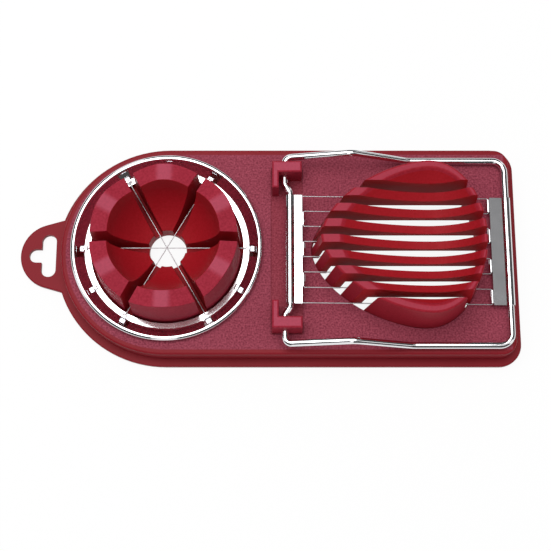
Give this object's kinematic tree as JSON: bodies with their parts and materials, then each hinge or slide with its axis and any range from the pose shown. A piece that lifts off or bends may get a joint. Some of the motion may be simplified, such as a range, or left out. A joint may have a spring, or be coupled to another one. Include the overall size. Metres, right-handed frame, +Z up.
{
  "type": "egg slicer",
  "caption": "Burgundy egg slicer and wedger: a hinged wire frame over a slotted egg cradle, and a lift-off wire ring over an upright petal cup, on one base with a hang tab.",
  "frame": {"origin": "under the middle of the whole tool, on the surface that it stands on", "axes": "+X from the hang tab towards the slicer's free end, +Y away from the user, +Z up"},
  "size_m": [0.1879, 0.085, 0.03],
  "materials": {
    "base_plastic": "burgundy with a fine moulded grain on the top",
    "insert_plastic": "deep red, smooth, with a light grain on the upper faces",
    "chrome": "bright plated",
    "steel_wire": "drawn stainless wire"
  },
  "bodies": {
    "base": {"base_shell": "base_plastic", "egg_cradle": "insert_plastic", "wedge_cup": "insert_plastic", "hinge_block_far": "insert_plastic", "hinge_block_near": "insert_plastic"},
    "slicer": {"slicing_frame": "chrome", "hinge_comb": "chrome", "handle_comb": "chrome", "slicing_wire": "steel_wire"},
    "ring": {"wedge_ring": "chrome", "wedge_wire_1": "steel_wire", "wedge_wire_2": "steel_wire", "wedge_wire_3": "steel_wire"}
  },
  "joints": [
    {"name": "frame_hinge", "type": "hinge", "parent": "base", "child": "slicer", "pos_m": [0.00605, 0, 0.0156], "axis": [0, -1, 0], "range_deg": [0, 95]},
    {"name": "ring_lift", "type": "slide", "parent": "base", "child": "ring", "axis": [0, 0, 1], "range_m": [0, 0.05]}
  ]
}
